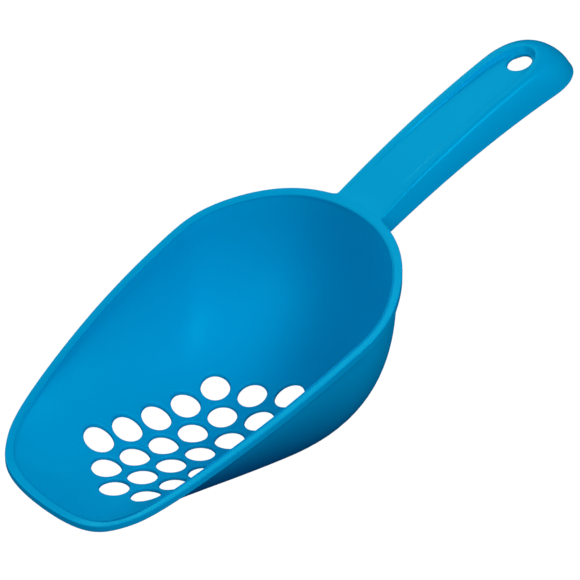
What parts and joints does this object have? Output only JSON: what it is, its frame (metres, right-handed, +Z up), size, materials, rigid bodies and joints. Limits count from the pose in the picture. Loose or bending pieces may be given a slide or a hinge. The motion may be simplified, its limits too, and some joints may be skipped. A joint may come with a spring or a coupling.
{
  "type": "sifting feed scoop",
  "caption": "One-piece moulded scoop with a deep flared bowl, a sieve floor of round holes, a banded rim and a hollow channel handle with a hang hole.",
  "frame": {"origin": "on the plane of the flat underside, below the middle of the scoop's overall length", "axes": "+X runs back from the lip to the handle, +Y is the left side as the scoop is held, +Z is up from the flat underside"},
  "size_m": [0.2489, 0.1172, 0.1233],
  "materials": {
    "bowl_plastic": "glossy moulded polypropylene",
    "rim_plastic": "glossy moulded polypropylene",
    "handle_plastic": "satin gloss moulded polypropylene"
  },
  "bodies": {
    "root": {"sieve_floor": "bowl_plastic", "lip_apron": "bowl_plastic", "left_wall": "bowl_plastic", "right_wall": "bowl_plastic", "back_wall": "bowl_plastic", "rim_band": "rim_plastic", "handle_deck": "handle_plastic", "handle_skirt": "handle_plastic"}
  },
  "joints": []
}
